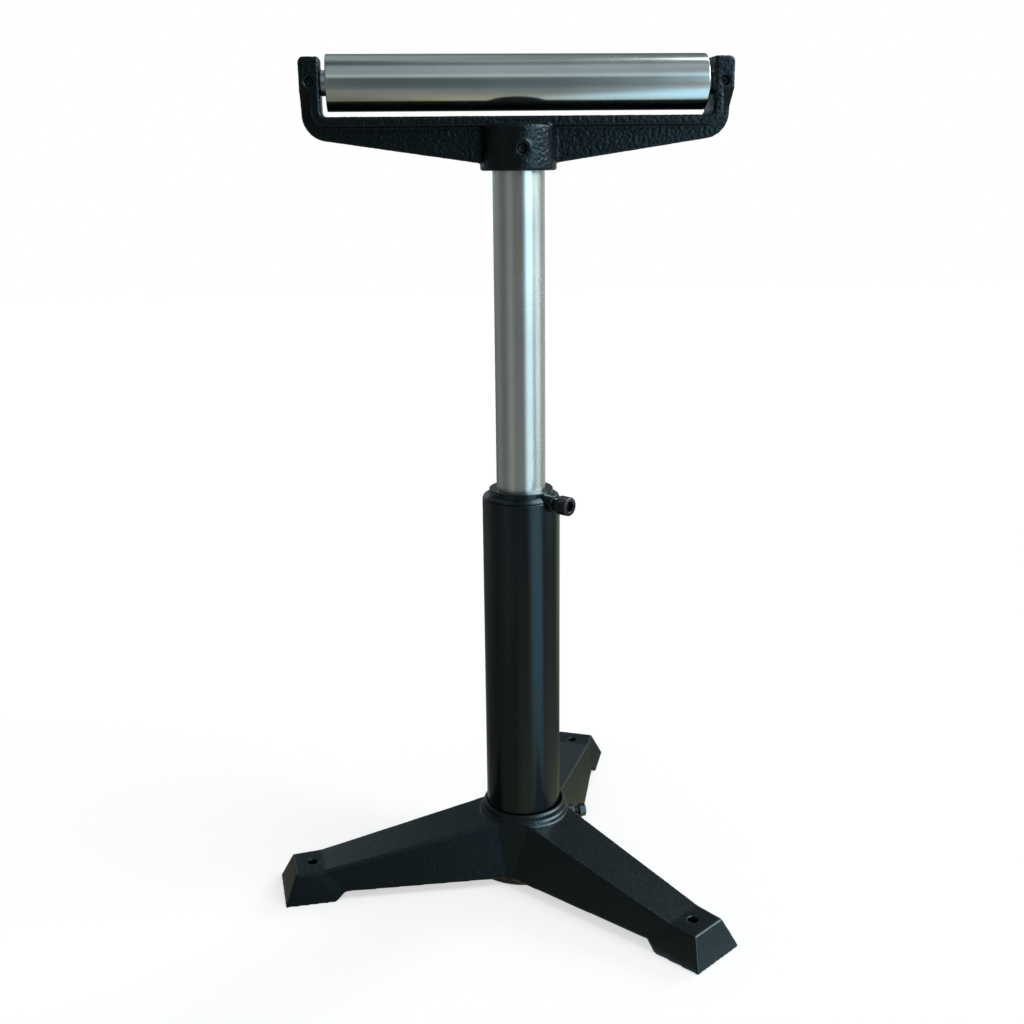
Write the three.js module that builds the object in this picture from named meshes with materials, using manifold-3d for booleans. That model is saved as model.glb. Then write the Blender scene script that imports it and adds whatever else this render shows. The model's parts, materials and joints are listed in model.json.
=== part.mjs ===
// Pedestal roller stand: a free-turning steel roller in a cast yoke, on a post that slides and turns
// in a column, which is bolted into a cast base with three legs.
// Millimetres, +Z up, roller along X, front towards -Y. The origin is on the column's axis at the floor.

import * as THREE from 'three';
import { ConvexGeometry } from 'three/addons/geometries/ConvexGeometry.js';
import { mergeVertices } from 'three/addons/utils/BufferGeometryUtils.js';
import Module from 'manifold-3d';

const wasm = await Module();
wasm.setup();

// Sides of round pieces
const LARGE_SIDES = 72;
const BEARING_SIDES = 36;
const SCREW_SIDES = 24;
const ARC_STEPS = 6;

// Clearances
const SEAT_GAP = 0.3; // between pieces that bear on each other or are screwed together
const RUNNING_GAP = 0.15; // on the radius, between round pieces that turn or slide in each other
const FACE_GAP = 0.15; // along an axle, between pieces stacked on it
const CUT_MARGIN = 5; // how far a cutting tool reaches past the face that it opens

// Legs of the base casting, measured out from the column's axis
const LEG_COUNT = 3;
const FIRST_LEG_AZIMUTH = -51;
const LEG_ROOT = 12;
const LEG_ROOT_WIDTH = 59;
const LEG_ROOT_HEIGHT = 60;
const LEG_LIFT = 8.4;
const LEG_WALL = 7;
const SIDE_DRAFT = 0.4; // spread of a leg's sides for each millimetre of depth
const FOOT_REACH = 257;
const FOOT_LENGTH = 51;
const FOOT_STEP = 10;
const FOOT_END_LEAN = 13;
const PAD_LENGTH = 29;
const PAD_WIDTH = 41;
const PAD_HEIGHT = 29.3;
const ANCHOR_INSET = 18.4; // from the pad's outer end
const ANCHOR_HOLE = 10.5;

// Hub of the base casting
const HUB_LIFT = 1;
const HUB_SPREAD = 16; // how much wider the hub is at its foot than at its shoulder
const HUB_EDGE = 2;
const HUB_FLOOR = 11;
const SHOULDER_HEIGHT = 64;
const SHOULDER_STEP = 1.8;
const LIP_RISE = 7.5;
const LIP_WALL = 3.5;
const LIP_EDGE = 2.2;
const SOCKET_GAP = 1.35;

// Bolt that holds the column in the hub
const COLUMN_BOLT_AZIMUTH = 9;
const COLUMN_BOLT_DROP = 18; // below the hub's shoulder
const COLUMN_BOLT_THREAD = 8;
const COLUMN_BOLT_FLATS = 12;
const COLUMN_BOLT_HEAD = 6.5;
const COLUMN_BOLT_SHOWS = 6;
const COLUMN_BOLT_BOSS = 15;
const COLUMN_BOLT_BOSS_STAND = 10;

// Column and the guide bush in its mouth
const COLUMN_OUTER = 76.3;
const COLUMN_WALL = 4.2;
const COLUMN_TOP = 401.5;
const COLUMN_EDGE = 1.2;
const BUSH_LENGTH = 32;
const BUSH_FLANGE_INSET = 0.85;
const BUSH_FLANGE_EDGE = 0.8;
const BUSH_SHOULDER_STEP = 1.5;
const BUSH_SHOULDER_RISE = 4;
const COLLAR_WALL = 7.2;
const COLLAR_RISE = 9;
const COLLAR_EDGE = 2;

// Clamp screw, the boss on the bush that it runs in, and its pad
const CLAMP_AZIMUTH = -46;
const CLAMP_DROP = 0.5; // below the column's rim
const CLAMP_THREAD = 12;
const CLAMP_BOSS = 17.5;
const CLAMP_BOSS_STAND = 6.25;
const CLAMP_SHOWS = 5.2;
const CLAMP_HEAD = 18.5;
const CLAMP_HEAD_LENGTH = 12;
const CLAMP_HEAD_EDGE = 1.2;
const CLAMP_SOCKET_FLATS = 10;
const CLAMP_SOCKET_DEPTH = 6;
const CLAMP_PAD = 10.8;
const CLAMP_PAD_LENGTH = 5.5;

// Post, and the ring that guides its foot in the column
const POST_OUTER = 48;
const POST_WALL = 3.5;
const RISE_LEFT = 34.35; // how far the post can still rise from where it is drawn
const FOOT_RING_LIFT = 5;
const FOOT_RING_HEIGHT = 14;
const CLIP_WIDTH = 2;
const CLIP_STAND = 4;
const CLIP_OPENING = 9;
const GROOVE_DEPTH = 1.2;

// Roller and its axle
const ROLLER_AXIS_HEIGHT = 786;
const ROLLER_LENGTH = 341;
const ROLLER_SEAT_WALL = 3.15;
const ROLLER_SHOULDER = 0.6;
const ROLLER_EDGE = 1;
const AXLE = 15;
const AXLE_INSET = 1.5;
const SPACER_OUTER = 22;

// Ball bearings in the roller's ends
const BEARING_OUTER = 42;
const BEARING_WIDTH = 13;
const BEARING_RECESS = 1;
const BALL = 7.9;
const GROOVE_IN_RACE = 1.05;
const BALL_COUNT = 8;
const BALL_DETAIL = 1;
const CAGE_THICKNESS = 2.6;
const CAGE_WIDTH = 5;
const SHIELD_THICKNESS = 0.8;
const SHIELD_INSET = 0.5;

// Yoke
const UNDER_ROLLER_GAP = 4.7;
const END_GAP = 5;
const ARM_DEPTH = 42;
const ARM_WIDTH = 18;
const ARM_RISE = 21;
const ARM_HEAD_DROP = 6;
const ARM_HEAD_TAPER = 16;
const ARM_TOP_ROUND = 5;
const INNER_ROUND = 5;
const OUTER_ROUND = 23;
const FLANGE = 8.6;
const WEB = 12;
const BEAM_DEPTH_AT_ARM = 20;
const BEAM_DEPTH_AT_HUB = 40.5;
const YOKE_HUB_WALL = 10.7;
const YOKE_HUB_LENGTH = 47;
const YOKE_HUB_TOP_STEP = 7;
const YOKE_HUB_EDGE = 1.5;
const SOCKET_ROOF = 17;
const CASTING_EDGE = 1.5;

// Set screws
const ARM_SCREW = 6;
const ARM_SCREW_FLATS = 3;
const ARM_SCREW_INSET = 3.4;
const ARM_COUNTERSINK = 1.6;
const HUB_SCREW = 8;
const HUB_SCREW_FLATS = 4;
const HUB_SCREW_HEIGHT = 19;
const HUB_SCREW_INSET = 5;
const HUB_COUNTERSINK = 0.4;
const HUB_SCREW_BOSS = 16.5;
const HUB_SCREW_BOSS_RISE = 1;
const SOCKET_SHARE = 0.5;

// Places that follow from the sizes of the base and column
const PAD_END = FOOT_REACH - FOOT_END_LEAN;
const PAD_START = PAD_END - PAD_LENGTH;
const FOOT_START = FOOT_REACH - FOOT_LENGTH;
const ANCHOR_RADIUS = PAD_END - ANCHOR_INSET;
const COLUMN_RADIUS = COLUMN_OUTER / 2;
const COLUMN_BORE_RADIUS = COLUMN_RADIUS - COLUMN_WALL;
const COLUMN_BOTTOM = HUB_LIFT + HUB_FLOOR;
const COLUMN_PUSH = SOCKET_GAP - SEAT_GAP; // the bolt pushes the column to the far side of its socket
const LIP_RADIUS = COLUMN_RADIUS + SOCKET_GAP + LIP_WALL;
const LIP_HEIGHT = SHOULDER_HEIGHT + LIP_RISE;
const SHOULDER_RADIUS = LIP_RADIUS + SHOULDER_STEP;
const HUB_BOTTOM_RADIUS = SHOULDER_RADIUS + HUB_SPREAD;
const COLUMN_BOLT_HEIGHT = SHOULDER_HEIGHT - COLUMN_BOLT_DROP;
const COLUMN_BOLT_BOSS_REACH = SHOULDER_RADIUS + COLUMN_BOLT_BOSS_STAND;

// Places that follow from the sizes of the post, bush and clamp
const POST_RADIUS = POST_OUTER / 2;
const BUSH_RADIUS = COLUMN_BORE_RADIUS - RUNNING_GAP;
const BUSH_FLANGE_RADIUS = COLUMN_RADIUS - BUSH_FLANGE_INSET;
const COLLAR_RADIUS = POST_RADIUS + RUNNING_GAP + COLLAR_WALL;
const BUSH_SHOULDER_RADIUS = COLLAR_RADIUS + BUSH_SHOULDER_STEP;
const CLAMP_HEIGHT = COLUMN_TOP - CLAMP_DROP;
const CLAMP_BOSS_REACH = COLUMN_RADIUS + CLAMP_BOSS_STAND;
const CLAMP_PAD_START = POST_RADIUS + SEAT_GAP;
const CLAMP_TIP = CLAMP_PAD_START + CLAMP_PAD_LENGTH + SEAT_GAP;
const CLIP_UPPER_BOTTOM = COLUMN_TOP - BUSH_LENGTH - RISE_LEFT - CLIP_WIDTH;
const FOOT_RING_TOP = CLIP_UPPER_BOTTOM - FACE_GAP;
const FOOT_RING_BOTTOM = FOOT_RING_TOP - FOOT_RING_HEIGHT;
const CLIP_LOWER_BOTTOM = FOOT_RING_BOTTOM - FACE_GAP - CLIP_WIDTH;
const CLIP_RADIUS = POST_RADIUS + CLIP_STAND;
const GROOVE_RADIUS = POST_RADIUS - GROOVE_DEPTH;
const POST_BOTTOM = FOOT_RING_BOTTOM - FOOT_RING_LIFT;

// Places that follow from the sizes of the roller, its bearings and the yoke
const BEARING_SEAT_RADIUS = BEARING_OUTER / 2 + FACE_GAP;
const ROLLER_RADIUS = BEARING_SEAT_RADIUS + ROLLER_SEAT_WALL;
const ROLLER_END = ROLLER_LENGTH / 2;
const BEARING_FACE = ROLLER_END - BEARING_RECESS;
const BALL_PITCH_RADIUS = (AXLE + BEARING_OUTER) / 4;
const BALL_PATH = BALL / 2 + RUNNING_GAP;
const INNER_RACE_RADIUS = BALL_PITCH_RADIUS - BALL_PATH + GROOVE_IN_RACE;
const OUTER_RACE_RADIUS = BALL_PITCH_RADIUS + BALL_PATH - GROOVE_IN_RACE;
const BEAM_TOP = -(ROLLER_RADIUS + UNDER_ROLLER_GAP);
const ARM_INNER = ROLLER_END + END_GAP;
const ARM_OUTER = ARM_INNER + ARM_WIDTH;
const ARM_SCREW_X = ARM_INNER + ARM_WIDTH / 2;
const YOKE_HUB_RADIUS = POST_RADIUS + SEAT_GAP + YOKE_HUB_WALL;
const YOKE_HUB_BOTTOM = BEAM_TOP - YOKE_HUB_LENGTH;
const YOKE_SOCKET_TOP = BEAM_TOP - SOCKET_ROOF;
const HUB_SCREW_Z = YOKE_HUB_BOTTOM + HUB_SCREW_HEIGHT;
const POST_TOP = ROLLER_AXIS_HEIGHT + YOKE_SOCKET_TOP - SEAT_GAP;
const SIDES = { left: -1, right: 1 };

const blackCasting = new THREE.MeshStandardMaterial({ color: 0x1b2024, roughness: 0.55, metalness: 0.2 });
const blackTube = new THREE.MeshStandardMaterial({ color: 0x1a1e20, roughness: 0.42, metalness: 0.2 });
const groundSteel = new THREE.MeshStandardMaterial({ color: 0xa6aaa9, roughness: 0.32, metalness: 1 });
const bearingSteel = new THREE.MeshStandardMaterial({ color: 0x9a9da0, roughness: 0.25, metalness: 1 });
const blackScrew = new THREE.MeshStandardMaterial({ color: 0x15181a, roughness: 0.4, metalness: 0.6 });
const brass = new THREE.MeshStandardMaterial({ color: 0xb08d46, roughness: 0.4, metalness: 1 });
const nylon = new THREE.MeshStandardMaterial({ color: 0xd8d4c4, roughness: 0.6, metalness: 0 });

// A closed solid of a geometry, with its shared corners merged and its faces turned outwards
function toSolid(geometry) {
  const bare = geometry.clone();
  bare.deleteAttribute('normal');
  bare.deleteAttribute('uv');
  const merged = mergeVertices(bare);
  const corners = merged.index.array;
  const places = merged.attributes.position.array;
  const point = (i) => new THREE.Vector3().fromArray(places, 3 * i);
  const triangles = [];
  let volume = 0;
  for (let i = 0; i < corners.length; i += 3) {
    const [a, b, c] = corners.slice(i, i + 3);
    if (a !== b && b !== c && c !== a) {
      triangles.push([a, b, c]);
      volume += point(a).dot(point(b).cross(point(c)));
    }
  }
  const outward = volume > 0 ? triangles : triangles.map(([a, b, c]) => [a, c, b]);
  const triVerts = Uint32Array.from(outward.flat());
  return new wasm.Manifold(new wasm.Mesh({ numProp: 3, vertProperties: places, triVerts }));
}

function toGeometry(solid) {
  const { vertProperties, triVerts } = solid.getMesh();
  const geometry = new THREE.BufferGeometry();
  geometry.setAttribute('position', new THREE.BufferAttribute(vertProperties, 3));
  geometry.setIndex(new THREE.BufferAttribute(triVerts, 1));
  geometry.computeVertexNormals();
  return geometry;
}

const join = (...pieces) => toGeometry(pieces.map(toSolid).reduce((all, piece) => all.add(piece)));
const cut = (body, ...tools) =>
  toGeometry(tools.map(toSolid).reduce((rest, tool) => rest.subtract(tool), toSolid(body)));
const common = (a, b) => toGeometry(toSolid(a).intersect(toSolid(b)));

// Radius at the corners of a many-sided hole whose flats lie at the given radius
const holeRadius = (radius, sides) => radius / Math.cos(Math.PI / sides);

const turnToX = (geometry) => geometry.rotateY(Math.PI / 2);
const turnToFront = (geometry) => geometry.rotateX(Math.PI / 2);
const turnBy = (geometry, azimuth) => geometry.rotateZ(THREE.MathUtils.degToRad(azimuth));

// A piece turned about Z, from the [radius, height] corners of its section
function turned(corners, sides) {
  const section = [...corners, corners[0]].map(([radius, height]) => new THREE.Vector2(radius, height));
  return new THREE.LatheGeometry(section, sides).rotateX(Math.PI / 2);
}

function rod(radius, bottom, top, sides) {
  return turned([[0, bottom], [radius, bottom], [radius, top], [0, top]], sides);
}

function ring(inner, outer, bottom, top, sides) {
  return turned([[inner, bottom], [outer, bottom], [outer, top], [inner, top]], sides);
}

// A six-sided rod along Z, given across its flats
const hexRod = (flats, bottom, top) => rod(holeRadius(flats / 2, 6), bottom, top, 6);

// A hexagon head whose outer corners are turned off
function hexHead(flats, bottom, top) {
  const corner = holeRadius(flats / 2, 6);
  const chamfer = corner - flats / 2;
  const section = [
    [0, bottom],
    [corner, bottom],
    [corner, top - chamfer],
    [corner - chamfer, top],
    [0, top],
  ];
  return common(hexRod(flats, bottom, top), turned(section, LARGE_SIDES));
}

// A headless screw along Z with a hexagon socket in its upper end
function setScrew(thread, flats, bottom, top) {
  const socketFloor = top - SOCKET_SHARE * (top - bottom);
  return cut(rod(thread / 2, bottom, top, SCREW_SIDES), hexRod(flats, socketFloor, top + CUT_MARGIN));
}

// A screw hole along Z that opens upwards through a countersink at the given face
function screwHole(thread, countersink, bottom, face) {
  const radius = holeRadius(thread / 2 + SEAT_GAP, SCREW_SIDES);
  const mouth = radius + countersink;
  const section = [
    [0, bottom],
    [radius, bottom],
    [radius, face - countersink],
    [mouth, face],
    [mouth, face + CUT_MARGIN],
    [0, face + CUT_MARGIN],
  ];
  return turned(section, SCREW_SIDES);
}

// Height of a leg's top, which falls from the hub and then runs level over the foot pad
function legTop(reach) {
  const fall = (LEG_ROOT_HEIGHT - PAD_HEIGHT) / (PAD_START - LIP_RADIUS);
  return Math.max(PAD_HEIGHT, LEG_ROOT_HEIGHT - fall * (reach - LIP_RADIUS));
}

// Half the width of a leg at a place along it and a height above the floor
function legHalfWidth(reach, height) {
  const narrowing = (LEG_ROOT_WIDTH - PAD_WIDTH) / (PAD_END - LIP_RADIUS);
  const topWidth = LEG_ROOT_WIDTH - narrowing * (reach - LIP_RADIUS);
  return topWidth / 2 + SIDE_DRAFT * (legTop(reach) - height);
}

// A block that follows the leg's drafted sides through the given [reach, height] stations
function legBlock(stations, inset = 0) {
  const corners = stations.flatMap(([reach, height]) => {
    const half = legHalfWidth(reach, height) - inset;
    return [new THREE.Vector3(reach, half, height), new THREE.Vector3(reach, -half, height)];
  });
  return new ConvexGeometry(corners);
}

function legBody() {
  return legBlock([
    [LEG_ROOT, LEG_LIFT],
    [LEG_ROOT, legTop(LEG_ROOT)],
    [PAD_START, PAD_HEIGHT],
    [PAD_START, LEG_LIFT],
  ]);
}

function legFoot() {
  return legBlock([
    [FOOT_START - FOOT_STEP, LEG_LIFT],
    [FOOT_START, 0],
    [FOOT_REACH, 0],
    [PAD_END, PAD_HEIGHT],
    [PAD_START, PAD_HEIGHT],
  ]);
}

// The hollow under a leg, open towards the floor
function legHollow() {
  const start = HUB_BOTTOM_RADIUS + LEG_WALL;
  const end = FOOT_START - FOOT_STEP - LEG_WALL;
  const mouth = LEG_LIFT - CUT_MARGIN;
  const stations = [
    [start, mouth],
    [start, legTop(start) - LEG_WALL],
    [end, legTop(end) - LEG_WALL],
    [end, mouth],
  ];
  return legBlock(stations, LEG_WALL);
}

function baseHub() {
  const section = [
    [0, HUB_LIFT],
    [HUB_BOTTOM_RADIUS - HUB_EDGE, HUB_LIFT],
    [HUB_BOTTOM_RADIUS, HUB_LIFT + HUB_EDGE],
    [SHOULDER_RADIUS, SHOULDER_HEIGHT],
    [LIP_RADIUS, SHOULDER_HEIGHT],
    [LIP_RADIUS, LIP_HEIGHT - LIP_EDGE],
    [LIP_RADIUS - LIP_EDGE, LIP_HEIGHT],
    [0, LIP_HEIGHT],
  ];
  return turned(section, LARGE_SIDES);
}

// Turns a piece made along +X and puts it where a bolt enters the hub from the side
function toColumnBolt(geometry) {
  return turnBy(geometry, COLUMN_BOLT_AZIMUTH).translate(0, 0, COLUMN_BOLT_HEIGHT);
}

function baseCasting() {
  const boss = rod(COLUMN_BOLT_BOSS / 2, COLUMN_RADIUS, COLUMN_BOLT_BOSS_REACH, SCREW_SIDES);
  const azimuths = Array.from({ length: LEG_COUNT }, (_, i) => FIRST_LEG_AZIMUTH + (i * 360) / LEG_COUNT);
  const legs = azimuths.flatMap((azimuth) => [turnBy(legBody(), azimuth), turnBy(legFoot(), azimuth)]);
  const whole = join(baseHub(), toColumnBolt(turnToX(boss)), ...legs);
  const socketRadius = holeRadius(COLUMN_RADIUS + SOCKET_GAP, LARGE_SIDES);
  const socket = rod(socketRadius, COLUMN_BOTTOM, LIP_HEIGHT + CUT_MARGIN, LARGE_SIDES);
  const boltRadius = holeRadius(COLUMN_BOLT_THREAD / 2 + SEAT_GAP, SCREW_SIDES);
  const boltHole = rod(boltRadius, COLUMN_BORE_RADIUS, COLUMN_BOLT_BOSS_REACH + CUT_MARGIN, SCREW_SIDES);
  const anchorHole = () => {
    const hole = rod(ANCHOR_HOLE / 2, -CUT_MARGIN, PAD_HEIGHT + CUT_MARGIN, SCREW_SIDES);
    return hole.translate(ANCHOR_RADIUS, 0, 0);
  };
  const openings = azimuths.flatMap((azimuth) => {
    return [turnBy(legHollow(), azimuth), turnBy(anchorHole(), azimuth)];
  });
  const casting = cut(whole, socket, toColumnBolt(turnToX(boltHole)), ...openings);
  const towardsBolt = THREE.MathUtils.degToRad(COLUMN_BOLT_AZIMUTH);
  return casting.translate(COLUMN_PUSH * Math.cos(towardsBolt), COLUMN_PUSH * Math.sin(towardsBolt), 0);
}

function columnBolt() {
  const headStart = COLUMN_BOLT_BOSS_REACH + COLUMN_PUSH + COLUMN_BOLT_SHOWS;
  const shank = rod(COLUMN_BOLT_THREAD / 2, COLUMN_RADIUS + SEAT_GAP, headStart, SCREW_SIDES);
  const head = hexHead(COLUMN_BOLT_FLATS, headStart, headStart + COLUMN_BOLT_HEAD);
  return toColumnBolt(turnToX(join(shank, head)));
}

// Turns a piece made along +X and puts it on the clamp screw's axis
const toClamp = (geometry) => turnBy(geometry, CLAMP_AZIMUTH).translate(0, 0, CLAMP_HEIGHT);

// The slot in the column's mouth that lets the clamp boss through
function clampNotch() {
  const radius = CLAMP_BOSS / 2 + SEAT_GAP;
  const outline = new THREE.Shape();
  outline.absarc(0, 0, radius, Math.PI, 2 * Math.PI);
  outline.lineTo(radius, COLUMN_TOP - CLAMP_HEIGHT + CUT_MARGIN);
  outline.lineTo(-radius, COLUMN_TOP - CLAMP_HEIGHT + CUT_MARGIN);
  const options = {
    depth: COLUMN_RADIUS + CUT_MARGIN,
    bevelEnabled: false,
    curveSegments: SCREW_SIDES / 2,
  };
  return new THREE.ExtrudeGeometry(outline, options).rotateX(Math.PI / 2).rotateZ(Math.PI / 2);
}

function columnTube() {
  const section = [
    [COLUMN_BORE_RADIUS, COLUMN_BOTTOM],
    [COLUMN_RADIUS, COLUMN_BOTTOM],
    [COLUMN_RADIUS, COLUMN_TOP - COLUMN_EDGE],
    [COLUMN_RADIUS - COLUMN_EDGE, COLUMN_TOP],
    [COLUMN_BORE_RADIUS, COLUMN_TOP],
  ];
  return cut(turned(section, LARGE_SIDES), toClamp(clampNotch()));
}

// The bore that the clamp screw and its pad run in
function clampBore() {
  const radius = holeRadius(CLAMP_THREAD / 2 + SEAT_GAP, SCREW_SIDES);
  return toClamp(turnToX(rod(radius, 0, CLAMP_BOSS_REACH + CUT_MARGIN, SCREW_SIDES)));
}

function guideBush() {
  const bore = holeRadius(POST_RADIUS + RUNNING_GAP, LARGE_SIDES);
  const rest = COLUMN_TOP + SEAT_GAP;
  const shoulder = COLUMN_TOP + BUSH_SHOULDER_RISE;
  const top = COLUMN_TOP + COLLAR_RISE;
  const section = [
    [bore, COLUMN_TOP - BUSH_LENGTH],
    [BUSH_RADIUS, COLUMN_TOP - BUSH_LENGTH],
    [BUSH_RADIUS, rest],
    [BUSH_FLANGE_RADIUS, rest],
    [BUSH_FLANGE_RADIUS, rest + BUSH_FLANGE_EDGE],
    [BUSH_SHOULDER_RADIUS, shoulder],
    [COLLAR_RADIUS, shoulder],
    [COLLAR_RADIUS, top - COLLAR_EDGE],
    [COLLAR_RADIUS - COLLAR_EDGE, top],
    [bore, top],
  ];
  const boss = toClamp(turnToX(rod(CLAMP_BOSS / 2, POST_RADIUS, CLAMP_BOSS_REACH, SCREW_SIDES)));
  const postBore = rod(bore, COLUMN_TOP - BUSH_LENGTH, top + CUT_MARGIN, LARGE_SIDES);
  return cut(join(turned(section, LARGE_SIDES), boss), postBore, clampBore());
}

function clampScrew() {
  const headStart = CLAMP_BOSS_REACH + CLAMP_SHOWS;
  const headEnd = headStart + CLAMP_HEAD_LENGTH;
  const headRadius = CLAMP_HEAD / 2;
  const shank = rod(CLAMP_THREAD / 2, CLAMP_TIP, headStart, SCREW_SIDES);
  const headSection = [
    [0, headStart],
    [headRadius, headStart],
    [headRadius, headEnd - CLAMP_HEAD_EDGE],
    [headRadius - CLAMP_HEAD_EDGE, headEnd],
    [0, headEnd],
  ];
  const socket = hexRod(CLAMP_SOCKET_FLATS, headEnd - CLAMP_SOCKET_DEPTH, headEnd + CUT_MARGIN);
  return toClamp(turnToX(cut(join(shank, turned(headSection, BEARING_SIDES)), socket)));
}

function clampPad() {
  const end = CLAMP_PAD_START + CLAMP_PAD_LENGTH;
  return toClamp(turnToX(rod(CLAMP_PAD / 2, CLAMP_PAD_START, end, SCREW_SIDES)));
}

function post() {
  const tube = ring(POST_RADIUS - POST_WALL, POST_RADIUS, POST_BOTTOM, POST_TOP, LARGE_SIDES);
  const grooves = [CLIP_LOWER_BOTTOM, CLIP_UPPER_BOTTOM].map((bottom) =>
    ring(GROOVE_RADIUS, COLUMN_RADIUS, bottom - FACE_GAP, bottom + CLIP_WIDTH + FACE_GAP, LARGE_SIDES),
  );
  return cut(tube, ...grooves);
}

// A spring clip that sits in a groove of the post, open on one side
function retainingRing(bottom) {
  const inner = holeRadius(GROOVE_RADIUS + RUNNING_GAP, LARGE_SIDES);
  const whole = ring(inner, CLIP_RADIUS, bottom, bottom + CLIP_WIDTH, LARGE_SIDES);
  const opening = new THREE.BoxGeometry(2 * CLIP_RADIUS, CLIP_OPENING, 2 * CLIP_RADIUS);
  return cut(whole, opening.translate(CLIP_RADIUS, 0, bottom));
}

function lowerGuideRing() {
  const bore = holeRadius(POST_RADIUS + RUNNING_GAP, LARGE_SIDES);
  const outside = (COLUMN_BORE_RADIUS - RUNNING_GAP) * Math.cos(Math.PI / LARGE_SIDES);
  return ring(bore, outside, FOOT_RING_BOTTOM, FOOT_RING_TOP, LARGE_SIDES);
}

// The yoke is drawn from the front, in X and Z about the roller's axis, and drawn through in Y
function drawnThrough(halfOutline, depth) {
  const mirrored = halfOutline.map((p) => new THREE.Vector2(-p.x, p.y)).reverse();
  return plate([...halfOutline, ...mirrored], depth);
}

// A plate with its corners eased, standing upright and centred on the roller's axis
function plate(outline, depth) {
  const options = {
    depth: depth - 2 * CASTING_EDGE,
    bevelThickness: CASTING_EDGE,
    bevelSize: CASTING_EDGE,
    bevelOffset: -CASTING_EDGE,
    bevelSegments: 1,
  };
  const drawn = new THREE.ExtrudeGeometry(new THREE.Shape(outline), options);
  return drawn.translate(0, 0, CASTING_EDGE - depth / 2).rotateX(Math.PI / 2);
}

// The web: a beam whose underside rises to the arms, with large rounds at its outer corners
function yokeWeb() {
  const rise = (BEAM_DEPTH_AT_HUB - BEAM_DEPTH_AT_ARM) / (ARM_INNER - YOKE_HUB_RADIUS);
  const slope = Math.atan(rise);
  const roundX = ARM_OUTER - OUTER_ROUND;
  const roundZ = BEAM_TOP - BEAM_DEPTH_AT_ARM + rise * (roundX - ARM_INNER) + OUTER_ROUND / Math.cos(slope);
  const half = new THREE.Path();
  half.moveTo(YOKE_HUB_RADIUS, BEAM_TOP - BEAM_DEPTH_AT_HUB);
  half.lineTo(roundX + OUTER_ROUND * Math.sin(slope), roundZ - OUTER_ROUND * Math.cos(slope));
  half.absarc(roundX, roundZ, OUTER_ROUND, slope - Math.PI / 2, 0);
  half.lineTo(ARM_OUTER, 0);
  half.lineTo(ARM_INNER, 0);
  half.lineTo(ARM_INNER, BEAM_TOP + INNER_ROUND);
  half.absarc(ARM_INNER - INNER_ROUND, BEAM_TOP + INNER_ROUND, INNER_ROUND, 0, -Math.PI / 2, true);
  return drawnThrough(half.getPoints(ARC_STEPS), WEB);
}

// The flange that lines the inside of the yoke, along the beam and up both arms
function yokeFlange() {
  const corner = ARM_INNER - INNER_ROUND;
  const height = BEAM_TOP + INNER_ROUND;
  const half = new THREE.Path();
  half.absarc(corner, height, INNER_ROUND + FLANGE, -Math.PI / 2, 0);
  half.lineTo(ARM_INNER + FLANGE, 0);
  half.lineTo(ARM_INNER, 0);
  half.absarc(corner, height, INNER_ROUND, 0, -Math.PI / 2, true);
  return drawnThrough(half.getPoints(ARC_STEPS), ARM_DEPTH);
}

// An arm head seen from the side, in Y and Z, and drawn through in X: it narrows to the web below
function armHeadSide() {
  const front = ARM_DEPTH / 2;
  const outline = new THREE.Shape();
  outline.moveTo(-WEB / 2, -ARM_HEAD_DROP - ARM_HEAD_TAPER);
  outline.lineTo(WEB / 2, -ARM_HEAD_DROP - ARM_HEAD_TAPER);
  outline.lineTo(front, -ARM_HEAD_DROP);
  outline.lineTo(front, ARM_RISE);
  outline.lineTo(-front, ARM_RISE);
  outline.lineTo(-front, -ARM_HEAD_DROP);
  const drawn = new THREE.ExtrudeGeometry(outline, { depth: 2 * ARM_OUTER, bevelEnabled: false });
  return drawn.translate(0, 0, -ARM_OUTER).rotateX(Math.PI / 2).rotateZ(Math.PI / 2);
}

// The thick head of an arm, which holds the axle's end; side is 1 on the right and -1 on the left
function armHead(side) {
  const half = new THREE.Path();
  half.moveTo(ARM_INNER, -ARM_HEAD_DROP - ARM_HEAD_TAPER);
  half.lineTo(ARM_OUTER, -ARM_HEAD_DROP - ARM_HEAD_TAPER);
  half.absarc(ARM_OUTER - ARM_TOP_ROUND, ARM_RISE - ARM_TOP_ROUND, ARM_TOP_ROUND, 0, Math.PI / 2);
  half.lineTo(ARM_INNER, ARM_RISE);
  const right = half.getPoints(ARC_STEPS);
  const outline = side > 0 ? right : right.map((p) => new THREE.Vector2(-p.x, p.y)).reverse();
  return common(plate(outline, ARM_DEPTH), armHeadSide());
}

function yokeHub() {
  const top = BEAM_TOP - YOKE_HUB_TOP_STEP;
  const section = [
    [0, YOKE_HUB_BOTTOM],
    [YOKE_HUB_RADIUS - YOKE_HUB_EDGE, YOKE_HUB_BOTTOM],
    [YOKE_HUB_RADIUS, YOKE_HUB_BOTTOM + YOKE_HUB_EDGE],
    [YOKE_HUB_RADIUS, top - YOKE_HUB_EDGE],
    [YOKE_HUB_RADIUS - YOKE_HUB_EDGE, top],
    [0, top],
  ];
  return turned(section, LARGE_SIDES);
}

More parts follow.
